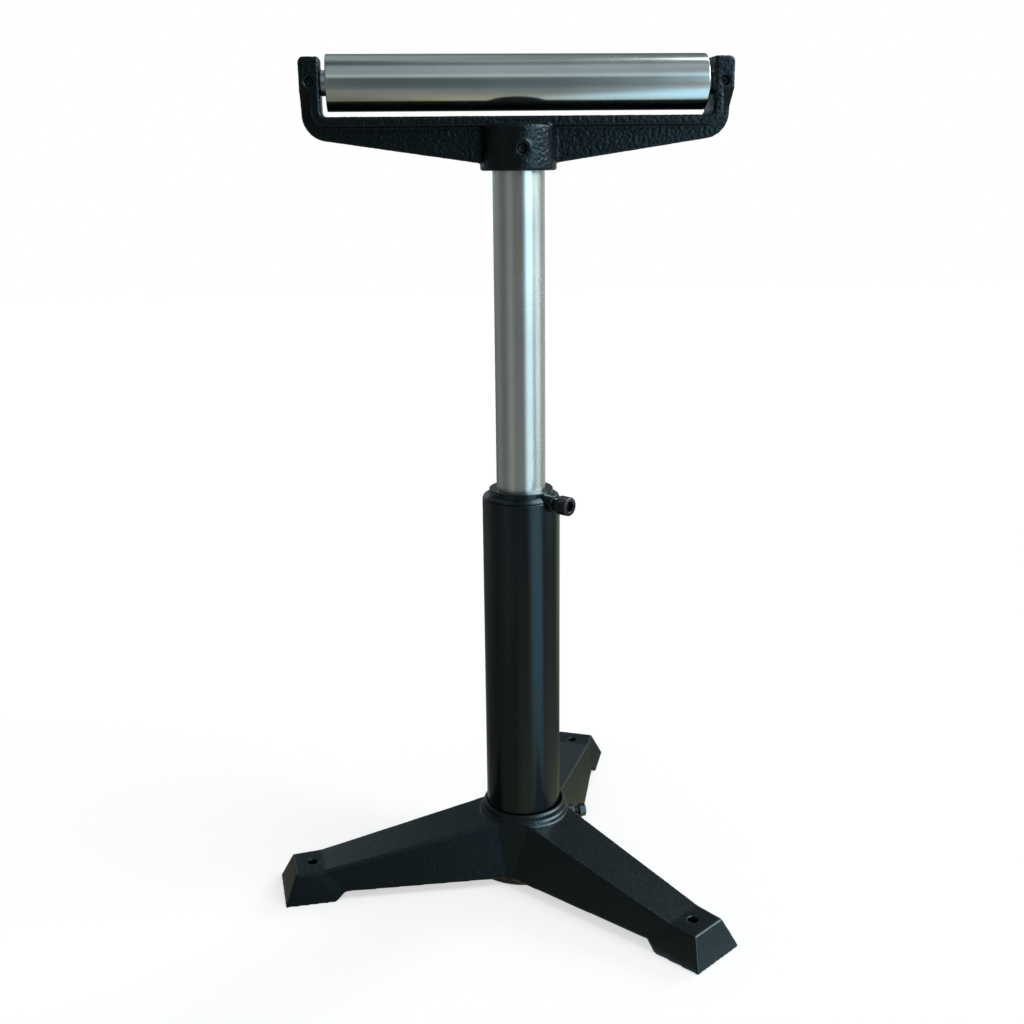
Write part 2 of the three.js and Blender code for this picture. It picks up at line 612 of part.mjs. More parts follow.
function yokeCasting() {
  const heads = Object.values(SIDES).map(armHead);
  const screwFace = YOKE_HUB_RADIUS + HUB_SCREW_BOSS_RISE;
  const screwBoss = rod(HUB_SCREW_BOSS / 2, POST_RADIUS, screwFace, SCREW_SIDES);
  const hub = join(yokeHub(), turnToFront(screwBoss).translate(0, 0, HUB_SCREW_Z));
  const whole = join(hub, yokeWeb(), yokeFlange(), ...heads);
  const socketRadius = holeRadius(POST_RADIUS + SEAT_GAP, LARGE_SIDES);
  const socket = rod(socketRadius, YOKE_HUB_BOTTOM - CUT_MARGIN, YOKE_SOCKET_TOP, LARGE_SIDES);
  const axleRadius = holeRadius(AXLE / 2 + RUNNING_GAP, BEARING_SIDES);
  const axleReach = ARM_OUTER + CUT_MARGIN;
  const axleHole = turnToX(rod(axleRadius, -axleReach, axleReach, BEARING_SIDES));
  const armHoles = Object.values(SIDES).map((side) => {
    const hole = screwHole(ARM_SCREW, ARM_COUNTERSINK, 0, ARM_DEPTH / 2);
    return turnToFront(hole).translate(side * ARM_SCREW_X, 0, 0);
  });
  const hubScrewHole = screwHole(HUB_SCREW, HUB_COUNTERSINK, 0, screwFace);
  const hubHole = turnToFront(hubScrewHole).translate(0, 0, HUB_SCREW_Z);
  return cut(whole, socket, axleHole, hubHole, ...armHoles);
}

function yokeSetScrew() {
  const tip = POST_RADIUS + SEAT_GAP;
  const screw = setScrew(HUB_SCREW, HUB_SCREW_FLATS, tip, YOKE_HUB_RADIUS - HUB_SCREW_INSET);
  return turnToFront(screw).translate(0, 0, HUB_SCREW_Z);
}

function axleSetScrew(side) {
  const screw = setScrew(ARM_SCREW, ARM_SCREW_FLATS, AXLE / 2 + SEAT_GAP, ARM_DEPTH / 2 - ARM_SCREW_INSET);
  return turnToFront(screw).translate(side * ARM_SCREW_X, 0, 0);
}

function axleShaft() {
  const end = ARM_OUTER - AXLE_INSET;
  return turnToX(rod(AXLE / 2, -end, end, BEARING_SIDES));
}

function rollerTube() {
  const bore = BEARING_SEAT_RADIUS - ROLLER_SHOULDER;
  const seat = holeRadius(BEARING_SEAT_RADIUS, LARGE_SIDES);
  const shoulder = BEARING_FACE - BEARING_WIDTH - FACE_GAP;
  const half = [
    [bore, shoulder],
    [seat, shoulder],
    [seat, ROLLER_END],
    [ROLLER_RADIUS - ROLLER_EDGE, ROLLER_END],
    [ROLLER_RADIUS, ROLLER_END - ROLLER_EDGE],
  ];
  const mirrored = half.map(([radius, place]) => [radius, -place]).reverse();
  return turnToX(turned([...half, ...mirrored], LARGE_SIDES));
}

// The groove that the balls run in, as [radius, place] corners; way is 1 outwards and -1 inwards
function raceGroove(way) {
  const halfAngle = Math.acos((BALL_PATH - GROOVE_IN_RACE) / BALL_PATH);
  const steps = 2 * ARC_STEPS;
  return Array.from({ length: steps + 1 }, (_, i) => {
    const angle = halfAngle * ((2 * i) / steps - 1);
    return [BALL_PITCH_RADIUS + way * BALL_PATH * Math.cos(angle), BALL_PATH * Math.sin(angle)];
  });
}

function outerRace() {
  const half = BEARING_WIDTH / 2;
  const outside = BEARING_OUTER / 2;
  const groove = raceGroove(1).map(([radius, place]) => [holeRadius(radius, BEARING_SIDES), place]);
  const inside = holeRadius(OUTER_RACE_RADIUS, BEARING_SIDES);
  const section = [[inside, -half], ...groove, [inside, half], [outside, half], [outside, -half]];
  return turnToX(turned(section, BEARING_SIDES));
}

function innerRace() {
  const half = BEARING_WIDTH / 2;
  const inside = holeRadius(AXLE / 2 + FACE_GAP, BEARING_SIDES);
  const outside = INNER_RACE_RADIUS;
  const section = [[outside, -half], ...raceGroove(-1), [outside, half], [inside, half], [inside, -half]];
  return turnToX(turned(section, BEARING_SIDES));
}

// The balls and the cage that spaces them
function ballCage() {
  const inner = BALL_PITCH_RADIUS - CAGE_THICKNESS / 2;
  const cage = ring(inner, inner + CAGE_THICKNESS, -CAGE_WIDTH / 2, CAGE_WIDTH / 2, BEARING_SIDES);
  const balls = Array.from({ length: BALL_COUNT }, (_, i) => {
    const ball = new THREE.IcosahedronGeometry(BALL / 2, BALL_DETAIL).translate(BALL_PITCH_RADIUS, 0, 0);
    return turnBy(ball, (i * 360) / BALL_COUNT);
  });
  return turnToX(join(cage, ...balls));
}

// A thin washer between the races; face is 1 on the bearing's outer side and -1 on its inner side
function bearingShield(face) {
  const inner = holeRadius(INNER_RACE_RADIUS + SEAT_GAP, BEARING_SIDES);
  const outer = OUTER_RACE_RADIUS - FACE_GAP;
  const middle = face * (BEARING_WIDTH / 2 - SHIELD_INSET - SHIELD_THICKNESS / 2);
  const half = SHIELD_THICKNESS / 2;
  return turnToX(ring(inner, outer, middle - half, middle + half, BEARING_SIDES));
}

function axleSpacer() {
  const inner = holeRadius(AXLE / 2 + FACE_GAP, BEARING_SIDES);
  const start = BEARING_FACE + FACE_GAP;
  return turnToX(ring(inner, SPACER_OUTER / 2, start, ARM_INNER - FACE_GAP, BEARING_SIDES));
}

// Adds one named piece to a group
function add(group, name, geometry, material) {
  const mesh = new THREE.Mesh(toGeometry(toSolid(geometry)), material);
  mesh.name = name;
  group.add(mesh);
  return mesh;
}

const stand = new THREE.Group();

const pedestal = new THREE.Group();
add(pedestal, 'base_casting', baseCasting(), blackCasting);
add(pedestal, 'column_tube', columnTube(), blackTube);
add(pedestal, 'column_bolt', columnBolt(), blackScrew);
add(pedestal, 'guide_bush', guideBush(), blackTube);
add(pedestal, 'clamp_screw', clampScrew(), blackScrew);
add(pedestal, 'clamp_pad', clampPad(), brass);
stand.add(pedestal);

const slide = new THREE.Group();
add(slide, 'lower_guide_ring', lowerGuideRing(), nylon);
add(slide, 'post', post(), groundSteel);
add(slide, 'retaining_ring_lower', retainingRing(CLIP_LOWER_BOTTOM), bearingSteel);
add(slide, 'retaining_ring_upper', retainingRing(CLIP_UPPER_BOTTOM), bearingSteel);
stand.add(slide);

const yoke = new THREE.Group();
yoke.position.z = ROLLER_AXIS_HEIGHT;
add(yoke, 'yoke_casting', yokeCasting(), blackCasting);
add(yoke, 'yoke_set_screw', yokeSetScrew(), blackScrew);
add(yoke, 'axle_shaft', axleShaft(), bearingSteel);
add(yoke, 'roller_tube', rollerTube(), groundSteel);
for (const [name, side] of Object.entries(SIDES)) {
  add(yoke, `axle_set_screw_${name}`, axleSetScrew(side), blackScrew);
  const end = new THREE.Group();
  end.rotation.z = side > 0 ? 0 : Math.PI;
  add(end, `axle_spacer_${name}`, axleSpacer(), bearingSteel);
  const bearing = new THREE.Group();
  bearing.position.x = BEARING_FACE - BEARING_WIDTH / 2;
  add(bearing, `bearing_outer_race_${name}`, outerRace(), bearingSteel);
  add(bearing, `bearing_inner_race_${name}`, innerRace(), bearingSteel);
  add(bearing, `ball_cage_${name}`, ballCage(), bearingSteel);
  add(bearing, `bearing_shield_outer_${name}`, bearingShield(1), bearingSteel);
  add(bearing, `bearing_shield_inner_${name}`, bearingShield(-1), bearingSteel);
  end.add(bearing);
  yoke.add(end);
}
stand.add(yoke);

export default stand;
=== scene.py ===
"""Roller stand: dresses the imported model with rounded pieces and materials, lights it and frames it.

Metres, +Z up, roller along X, front towards -Y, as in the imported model.
"""

import cmath
import json
import math

import bmesh
import bpy
import numpy as np
from mathutils import Matrix, Vector, noise

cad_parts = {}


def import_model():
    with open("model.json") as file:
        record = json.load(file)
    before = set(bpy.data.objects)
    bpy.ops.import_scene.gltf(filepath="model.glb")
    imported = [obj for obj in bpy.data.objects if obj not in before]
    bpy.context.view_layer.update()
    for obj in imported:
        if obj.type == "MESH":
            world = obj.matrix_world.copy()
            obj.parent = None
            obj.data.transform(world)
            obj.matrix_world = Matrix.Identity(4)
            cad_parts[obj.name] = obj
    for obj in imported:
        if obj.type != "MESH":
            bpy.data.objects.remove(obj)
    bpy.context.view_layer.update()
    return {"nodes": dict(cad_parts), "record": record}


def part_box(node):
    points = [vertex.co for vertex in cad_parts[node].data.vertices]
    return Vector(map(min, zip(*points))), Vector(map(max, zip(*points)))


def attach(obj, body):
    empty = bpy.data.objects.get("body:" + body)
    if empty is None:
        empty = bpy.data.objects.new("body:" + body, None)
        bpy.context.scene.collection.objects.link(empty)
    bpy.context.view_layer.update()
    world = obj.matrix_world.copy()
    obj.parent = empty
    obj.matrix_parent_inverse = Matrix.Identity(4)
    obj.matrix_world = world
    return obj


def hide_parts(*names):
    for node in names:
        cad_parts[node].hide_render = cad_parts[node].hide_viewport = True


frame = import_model()

MM = 0.001
UP = Vector((0, 0, 1))
FRONT = Vector((0, -1, 0))
RIGHT = Vector((1, 0, 0))

# Fineness of turned pieces; the segments are a multiple of 6, so that hexagons keep their corners
SEGMENTS = 192
EASE_STEPS = 4
SMOOTH_BELOW = math.radians(40)

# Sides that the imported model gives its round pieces
LARGE_SIDES = 72
BEARING_SIDES = 36
SCREW_SIDES = 24

# Castings
BASE_VOXEL = 1.0 * MM
YOKE_VOXEL = 0.8 * MM
BASE_SOFTENING = 5
LEG_SOFTENING = 12
YOKE_SOFTENING = 5
BASE_GRAIN = 0.05 * MM
YOKE_GRAIN = 0.25 * MM
GRAIN_SIZE = 3.0 * MM
WAVE = 0.12 * MM
WAVE_SIZE = 24 * MM
BORE_MARGIN = 0.7 * MM

# Base: its bolt pushes the column to the far side of the socket, so the two axes lie apart
BASE_SHIFT = 1.05 * MM
SOCKET_GAP = 1.35 * MM
HUB_RADIUS = 62 * MM
LEG_START = 54 * MM
LEG_AZIMUTHS = [-51, 69, 189]
ANCHOR_RADIUS = 225.6 * MM
ANCHOR_HOLE = 10.5 * MM

# Tubes
COLUMN_WALL = 4.2 * MM
COLUMN_EDGE = 1.3 * MM
POST_WALL = 3.5 * MM
POST_EDGE = 0.8 * MM
GROOVE_DEPTH = 1.2 * MM
CLIP_GAP = 0.15 * MM
ROLLER_EDGE = 1.1 * MM
ROLLER_SHOULDER = 0.6 * MM
FIT = 0.15 * MM

# Guide bush in the column's mouth, and the boss on it
BUSH_LENGTH = 32 * MM
BUSH_REST = 0.3 * MM
BUSH_INSET = 0.85 * MM
BUSH_SHOULDER = 4 * MM
BUSH_SHOULDER_RADIUS = 32.85 * MM
COLLAR_RADIUS = 31.35 * MM
CLAMP_BOSS = 17.5 * MM
CLAMP_BOSS_STAND = 6.25 * MM
SCREW_GAP = 0.3 * MM

# Clamp screw and column bolt
CLAMP_AZIMUTH = -46
CLAMP_THREAD = 12 * MM
CLAMP_PITCH = 1.75 * MM
CLAMP_HEAD_LENGTH = 12 * MM
CLAMP_SOCKET = 10 * MM
CLAMP_SOCKET_DEPTH = 6 * MM
KNURLS = 48
KNURL_DEPTH = 0.3 * MM
BOLT_AZIMUTH = 9
BOLT_THREAD = 8 * MM
BOLT_PITCH = 1.25 * MM
BOLT_FLATS = 12 * MM
BOLT_HEAD = 6.5 * MM
BOLT_BOSS = 15 * MM

# Set screws
HUB_SCREW_SOCKET = 4 * MM
HUB_SCREW_PITCH = 1.25 * MM
HUB_SCREW_BOSS = 16.5 * MM
ARM_SCREW_SOCKET = 3 * MM
ARM_SCREW_PITCH = 1 * MM
COUNTERSINK_RADIUS = 5.2 * MM
THREAD_STEPS = 8
THREAD_DEPTH_SHARE = 0.54

# Axle and its spacers
AXLE_EDGE = 0.8 * MM
CENTRE_HOLE = 2.2 * MM
SPACER_EDGE = 0.5 * MM

# Camera, placed by the photograph
CAMERA_PLACE = Vector((-0.1142, -1.1649, 0.7195))
CAMERA_YAW = math.radians(5.15)
CAMERA_PITCH = math.radians(16.36)
CAMERA_ROLL = math.radians(0.58)
CAMERA_LENS = 43.262
CAMERA_SENSOR = 36
CAMERA_SHIFT = 0.00872


# Placing and measuring

def line_along(origin, direction):
    """A frame whose Z axis is the line through origin along direction."""
    turn = Vector(direction).to_track_quat("Z", "Y").to_matrix().to_4x4()
    return Matrix.Translation(origin) @ turn


def outward(azimuth):
    """The level direction at an azimuth in degrees, counted from +X towards +Y."""
    angle = math.radians(azimuth)
    return Vector((math.cos(angle), math.sin(angle), 0))


def span(node, line):
    """Where a CAD node starts and ends along a line, and its largest radius about it."""
    to_line = line.inverted()
    places = np.array([to_line @ vertex.co for vertex in frame["nodes"][node].data.vertices])
    radii = np.hypot(places[:, 0], places[:, 1])
    return places[:, 2].min(), places[:, 2].max(), radii.max()


def middle(node):
    low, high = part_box(node)
    return (low + high) / 2


def linked(name, mesh):
    piece = bpy.data.objects.new(name, mesh)
    bpy.context.scene.collection.objects.link(piece)
    return piece


def settle(piece):
    """Makes what a piece's modifiers show its own mesh."""
    graph = bpy.context.evaluated_depsgraph_get()
    shown = bpy.data.meshes.new_from_object(piece.evaluated_get(graph))
    piece.modifiers.clear()
    piece.data = shown


def dress(piece, node):
    """A piece stands for a CAD node, rides on its body and takes its finish."""
    for body, members in frame["record"]["behaviour"]["bodies"].items():
        if node in members:
            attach(piece, body)
    slot = slot_of[node]
    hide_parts(node)
    piece.data.materials.clear()
    piece.data.materials.append(finishes[slot])
    return piece


# Turned pieces

def eased(corners):
    """Points of a closed outline of (radius, place, ease) corners, each rounded by its ease."""
    points = []
    for i, (radius, place, ease) in enumerate(corners):
        here = complex(radius, place)
        if not ease:
            points.append((radius, place))
            continue
        before = complex(*corners[i - 1][:2]) - here
        after = complex(*corners[(i + 1) % len(corners)][:2]) - here
        before /= abs(before)
        after /= abs(after)
        half = abs(cmath.phase(after / before)) / 2
        start = here + before * ease / math.tan(half)
        end = here + after * ease / math.tan(half)
        centre = here + (before + after) / abs(before + after) * ease / math.sin(half)
        swing = cmath.phase((end - centre) / (start - centre))
        for step in range(EASE_STEPS + 1):
            point = centre + (start - centre) * cmath.exp(1j * swing * step / EASE_STEPS)
            points.append((point.real, point.imag))
    return points


turns = np.arange(SEGMENTS) * 2 * math.pi / SEGMENTS


def hexagon(flats):
    """Radius round a hexagon, given across its flats."""
    sixth = math.pi / 3
    return flats / 2 / np.cos(turns % sixth - sixth / 2)


def knurled(radius):
    return radius - KNURL_DEPTH * (0.5 + 0.5 * np.cos(KNURLS * turns)) ** 2


def threaded(radius, pitch, start, end):
    """Rings of a screw thread from start to end."""
    count = max(2, round((end - start) / pitch * THREAD_STEPS))
    rings = []
    for place in np.linspace(start, end, count + 1):
        phase = (place / pitch - turns / (2 * math.pi)) % 1
        flank = np.clip(2.4 * np.abs(2 * phase - 1) - 0.7, 0, 1)
        rings.append((radius - THREAD_DEPTH_SHARE * pitch * (1 - flank), place))
    return rings


def turned(name, rings, line, hollow=False):
    """A closed solid over rings of (radius, place) about a line; a radius may vary round its ring."""
    corners = []
    for radius, place in rings:
        around = np.broadcast_to(radius, turns.shape)
        level = np.full(SEGMENTS, place)
        corners.append(np.stack([around * np.cos(turns), around * np.sin(turns), level], axis=1))
    last = len(rings) if hollow else len(rings) - 1
    faces = []
    for i in range(last):
        lower = i * SEGMENTS
        upper = (i + 1) % len(rings) * SEGMENTS
        for k in range(SEGMENTS):
            beside = (k + 1) % SEGMENTS
            faces.append((lower + k, lower + beside, upper + beside, upper + k))
    mesh = bpy.data.meshes.new(name)
    mesh.from_pydata(np.concatenate(corners), [], faces)
    mesh.transform(line)
    tidy = bmesh.new()
    tidy.from_mesh(mesh)
    bmesh.ops.remove_doubles(tidy, verts=tidy.verts, dist=1e-7)
    bmesh.ops.recalc_face_normals(tidy, faces=tidy.faces)
    tidy.to_mesh(mesh)
    tidy.free()
    return smooth(linked(name, mesh))


def smooth(piece):
    """Smooth shading that keeps sharp edges and leaves flat faces flat."""
    piece.data.shade_smooth()
    piece.data.set_sharp_from_angle(angle=SMOOTH_BELOW)
    normals = piece.modifiers.new("Flat faces", "WEIGHTED_NORMAL")
    normals.keep_sharp = True
    return piece


def combined(piece, tool, operation):
    """Joins a tool to a piece or cuts it out, and removes the tool."""
    piece.modifiers.clear()
    tool.modifiers.clear()
    boolean = piece.modifiers.new("Combine", "BOOLEAN")
    boolean.operation = operation
    boolean.object = tool
    boolean.solver = "EXACT"
    settle(piece)
    bpy.data.objects.remove(tool)
    return smooth(piece)


def rod(name, radius, start, end, line):
    return turned(name, [(0, start), (radius, start), (radius, end), (0, end)], line)


# Castings

def about_line(places, line):
    """Places seen from a line: across it, as complex numbers, and along it."""
    local = places @ np.array(line.inverted().to_3x3()).T + np.array(line.inverted().translation)
    return local[:, 0] + 1j * local[:, 1], local[:, 2]


def round_off(places, line, sides, low, high):
    """Moves places between two radii off the flats of a many-sided piece, onto its round."""
    across, along = about_line(places, line)
    flat = 2 * math.pi / sides
    swing = np.angle(across) % flat - flat / 2
    chosen = (abs(across) > low) & (abs(across) < high)
    across = np.where(chosen, across * np.cos(swing) / math.cos(flat / 2), across)
    local = np.stack([across.real, across.imag, along], axis=1)
    return local @ np.array(line.to_3x3()).T + np.array(line.translation)


def skin_noise(places, size):
    return np.array([noise.noise(Vector(place) / size) for place in places])


def soften(piece, chosen, steps):
    """Rounds the edges of a piece where its vertices are chosen."""
    group = piece.vertex_groups.new(name="soft")
    group.add(np.flatnonzero(chosen).tolist(), 1, "REPLACE")
    rounding = piece.modifiers.new("Soft edges", "SMOOTH")
    rounding.factor = 0.5
    rounding.iterations = steps
    rounding.vertex_group = group.name


def cast(node, voxel, softening, grain, rounds, bores, limbs=None):
    """A cast copy of a CAD node: edges rounded and skin grainy, except in its machined bores.

    limbs gives a line, a distance from it beyond which edges are rounded further, and by how much.
    """
    piece = linked(node + "_cast", frame["nodes"][node].data.copy())
    remesh = piece.modifiers.new("Even faces", "REMESH")
    remesh.mode = "VOXEL"
    remesh.voxel_size = voxel
    settle(piece)
    mesh = piece.data
    places = np.zeros(3 * len(mesh.vertices))
    mesh.vertices.foreach_get("co", places)
    places = places.reshape(-1, 3)
    for line, sides, low, high in rounds:
        places = round_off(places, line, sides, low, high)
    mesh.vertices.foreach_set("co", places.ravel())
    rough = np.ones(len(places), bool)
    for line, radius in bores:
        across, along = about_line(places, line)
        rough &= (abs(across) > radius + BORE_MARGIN) | (along < 0)
    soften(piece, rough, softening)
    if limbs:
        line, start, steps = limbs
        soften(piece, rough & (abs(about_line(places, line)[0]) > start), steps)
    settle(piece)
    mesh = piece.data
    places = np.array([vertex.co for vertex in mesh.vertices])
    normals = np.array([vertex.normal for vertex in mesh.vertices])
    relief = grain * skin_noise(places, GRAIN_SIZE) + WAVE * skin_noise(places, WAVE_SIZE)
    off_floor = np.clip(places[:, 2] / (2 * MM), 0, 1)
    places += normals * (relief * rough * off_floor)[:, None]
    mesh.vertices.foreach_set("co", places.ravel())
    mesh.shade_smooth()
    return piece


# Node trees

def node(tree, kind, inputs=None, **settings):
    """Adds a node, sets its options, and fills or links its inputs."""
    made = tree.nodes.new("ShaderNode" + kind)
    for name, value in settings.items():
        setattr(made, name, value)
    for name, value in (inputs or {}).items():
        if isinstance(value, bpy.types.NodeSocket):
            tree.links.new(value, made.inputs[name])
        else:
            made.inputs[name].default_value = value
    return made


def ramp(tree, factor, stops):
    """A colour ramp over (place, colour) stops."""
    made = node(tree, "ValToRGB", {"Fac": factor})
    elements = made.color_ramp.elements
    while len(elements) < len(stops):
        elements.new(1)
    for element, (place, colour) in zip(elements, stops):
        element.position = place
        element.color = (*colour, 1)
    return made.outputs["Color"]


def grey(value):
    return (value, value, value)


def new_material(name):
    material = bpy.data.materials.new(name)
    material.use_nodes = True
    tree = material.node_tree
    tree.nodes.clear()
    shader = node(tree, "BsdfPrincipled")
    node(tree, "OutputMaterial", {"Surface": shader.outputs["BSDF"]})
    coordinates = node(tree, "TexCoord").outputs["Object"]
    return material, tree, shader, coordinates


def spots(tree, coordinates, scale, detail=3, roughness=0.55, stretch=None):
    """Noise from 0 to 1; scale counts its spots in a metre."""
    if stretch:
        coordinates = node(tree, "Mapping", {"Vector": coordinates, "Scale": stretch}).outputs["Vector"]
    inputs = {"Vector": coordinates, "Scale": scale, "Detail": detail, "Roughness": roughness}
    return node(tree, "TexNoise", inputs).outputs["Fac"]


def between(tree, factor, low, high):
    """Maps 0 to 1 onto low to high."""
    inputs = {"Value": factor, "To Min": low, "To Max": high}
    return node(tree, "MapRange", inputs).outputs["Result"]


def blended(tree, factor, first, second):
    made = node(tree, "MixRGB")
    for name, value in (("Fac", factor), ("Color1", first), ("Color2", second)):
        if isinstance(value, bpy.types.NodeSocket):
            tree.links.new(value, made.inputs[name])
        else:
            made.inputs[name].default_value = (*value, 1)
    return made.outputs["Color"]


def product(tree, first, second):
    made = node(tree, "Math", {0: first, 1: second}, operation="MULTIPLY")
    return made.outputs["Value"]


def bumped(tree, shader, layers):
    """Stacks (height, depth) layers of relief on a shader; depth is in metres."""
    normal = None
    for height, depth in layers:
        inputs = {"Height": height, "Strength": 1, "Distance": depth}
        if normal:
            inputs["Normal"] = normal
        normal = node(tree, "Bump", inputs).outputs["Normal"]
    tree.links.new(normal, shader.inputs["Normal"])


def fill(tree, shader, **values):
    """Sets or links a shader's inputs by name, with underscores for spaces."""
    for name, value in values.items():
        socket = shader.inputs[name.replace("_", " ")]
        if isinstance(value, bpy.types.NodeSocket):
            tree.links.new(value, socket)
        else:
            socket.default_value = value


# Materials

# Painted reflection colour: a cold bluish tint on the paint's reflections, standing in for the cold window
# light
PAINTED_COLD_SHEEN = (0.78, 0.95, 1, 1)


def casting_paint(name, gloss, grain_depth, pit_depth):
    """Satin black paint over sand-cast iron, its edges a little lighter: partly wear, partly a painted
    highlight.

    gloss is the level of its reflections.
    """
    material, tree, shader, coordinates = new_material(name)
    patches = spots(tree, coordinates, 26)
    grain = spots(tree, coordinates, 850, detail=5)
    pits = node(tree, "TexVoronoi", {"Vector": coordinates, "Scale": 420}).outputs["Distance"]
    colour = ramp(tree, patches, [(0.3, (0.0016, 0.0021, 0.0022)), (0.7, (0.0026, 0.0033, 0.0034))])
    # Painted highlight and wear: convex edges are painted lighter and bluish, partly as rubbed paint and
    # partly as a painted highlight where edges catch the light
    pointed = node(tree, "NewGeometry").outputs["Pointiness"]
    edges = ramp(tree, pointed, [(0.51, grey(0)), (0.58, grey(1))])
    wear_and_edge_highlight = product(tree, edges, between(tree, spots(tree, coordinates, 120), 0, 0.9))
    colour = blended(tree, wear_and_edge_highlight, colour, (0.030, 0.036, 0.040))
    fill(
        tree,
        shader,
        Base_Color=colour,
        Roughness=between(tree, grain, 0.22, 0.34),
        Specular_IOR_Level=gloss,
        # reflections carry the painted cold tint of the window light
        Specular_Tint=PAINTED_COLD_SHEEN,
    )
    bumped(tree, shader, [(pits, pit_depth), (grain, grain_depth)])
    return material


def tube_paint():
    """Satin black paint on smooth tube, with a faint orange peel and light rubbing marks."""
    material, tree, shader, coordinates = new_material("tube_paint")
    patches = spots(tree, coordinates, 18)
    peel = spots(tree, coordinates, 330, detail=2)
    rubs = spots(tree, coordinates, 40, detail=6, stretch=(1, 1, 14))
    colour = ramp(tree, patches, [(0.3, (0.0018, 0.0023, 0.0022)), (0.7, (0.0028, 0.0034, 0.0033))])
    marks = ramp(tree, rubs, [(0.6, grey(0)), (0.75, grey(0.3))])
    colour = blended(tree, marks, colour, (0.010, 0.012, 0.012))
    fill(
        tree,
        shader,
        Base_Color=colour,
        Roughness=between(tree, rubs, 0.17, 0.26),
        Specular_IOR_Level=0.44,
        # reflections carry the painted cold tint of the window light
        Specular_Tint=PAINTED_COLD_SHEEN,
    )
    bumped(tree, shader, [(peel, 0.03 * MM)])
    return material


def ground_steel(name, axis, bare, smear, blur):
    """Bright steel ground round an axis: fine rings, dull patches and a few darker specks.

    bare is the share without a dull film, smear is how far the rings stretch reflections, and blur is
    the roughness where it is brightest.
    """
    material, tree, shader, coordinates = new_material(name)
    along = {"X": (60, 1, 1), "Z": (1, 1, 60)}[axis]
    patches = spots(tree, coordinates, 20, detail=5)
    specks = spots(tree, coordinates, 420, detail=2)
    rings = spots(tree, coordinates, 60, detail=4, stretch=along)
    colour = ramp(tree, patches, [(0.3, (0.555, 0.53, 0.485)), (0.7, (0.615, 0.59, 0.54))])
    dirt = ramp(tree, specks, [(0.66, grey(0)), (0.76, grey(0.35))])
    colour = blended(tree, dirt, colour, (0.34, 0.325, 0.30))
    fill(
        tree,
        shader,
        Base_Color=colour,
        Metallic=bare,
        Roughness=between(tree, patches, blur, blur + 0.06),
        Anisotropic=smear,
        Anisotropic_Rotation=0.25,
        Tangent=node(tree, "Tangent", direction_type="RADIAL", axis=axis).outputs["Tangent"],
    )
    bumped(tree, shader, [(rings, 0.010 * MM), (specks, 0.005 * MM)])
    return material


def bearing_steel():
    material, tree, shader, coordinates = new_material("bearing_steel")
    rings = spots(tree, coordinates, 500, detail=3)
    film = spots(tree, coordinates, 90, detail=4)
    colour = ramp(tree, film, [(0.3, (0.42, 0.43, 0.43)), (0.7, (0.58, 0.59, 0.60))])
    fill(tree, shader, Base_Color=colour, Metallic=1, Roughness=between(tree, film, 0.2, 0.4))
    bumped(tree, shader, [(rings, 0.008 * MM)])
    return material


def screw_black():
    """Black oxide on steel, worn bright where a key or spanner touches."""
    material, tree, shader, coordinates = new_material("screw_black")
    film = spots(tree, coordinates, 160, detail=4)
    grain = spots(tree, coordinates, 1500, detail=2)
    colour = ramp(tree, film, [(0.3, (0.0025, 0.003, 0.0033)), (0.7, (0.005, 0.0058, 0.006))])
    pointed = node(tree, "NewGeometry").outputs["Pointiness"]
    worn = product(tree, ramp(tree, pointed, [(0.52, grey(0)), (0.6, grey(1))]), between(tree, film, 0, 0.5))
    colour = blended(tree, worn, colour, (0.06, 0.063, 0.066))
    fill(
        tree,
        shader,
        Base_Color=colour,
        Roughness=between(tree, film, 0.2, 0.34),
    )
    bumped(tree, shader, [(grain, 0.02 * MM)])
    return material


def brass():
    material, tree, shader, coordinates = new_material("brass")
    film = spots(tree, coordinates, 240, detail=4)
    colour = ramp(tree, film, [(0.3, (0.34, 0.22, 0.075)), (0.7, (0.62, 0.44, 0.17))])
    fill(tree, shader, Base_Color=colour, Metallic=1, Roughness=between(tree, film, 0.3, 0.5))
    bumped(tree, shader, [(film, 0.01 * MM)])
    return material


def nylon():
    material, tree, shader, coordinates = new_material("nylon")
    film = spots(tree, coordinates, 120, detail=4)
    colour = ramp(tree, film, [(0.3, (0.58, 0.55, 0.46)), (0.7, (0.68, 0.66, 0.58))])
    fill(tree, shader, Base_Color=colour, Roughness=between(tree, film, 0.5, 0.68))
    bumped(tree, shader, [(film, 0.02 * MM)])
    return material


finishes = {
    "black_casting": casting_paint("base_paint", 0.4, 0.15 * MM, 0.05 * MM),
    "black_tube": tube_paint(),
    "ground_steel": ground_steel("post_steel", "Z", 0.9, 0.6, 0.24),
    "bearing_steel": bearing_steel(),
    "black_screw": screw_black(),
    "brass_pad": brass(),
    "nylon_ring": nylon(),
}
slot_of = {part["node"]: part["material_slot"] for part in frame["record"]["subparts"]}


# Lines that the pieces are turned about

COLUMN_LINE = Matrix.Identity(4)
BASE_LINE = Matrix.Translation(outward(BOLT_AZIMUTH) * BASE_SHIFT)
ROLLER_LINE = line_along(middle("axle_shaft"), RIGHT)
CLAMP_LINE = line_along(UP * middle("clamp_pad").z, outward(CLAMP_AZIMUTH))
BOLT_LINE = line_along(UP * middle("column_bolt").z, outward(BOLT_AZIMUTH))
HUB_SCREW_LINE = line_along(UP * middle("yoke_set_screw").z, FRONT)
ARM_SCREW_LINES = {}
for side in ("left", "right"):
    screw = middle(f"axle_set_screw_{side}")
    ARM_SCREW_LINES[side] = line_along((screw.x, 0, screw.z), FRONT)


# Base and yoke castings

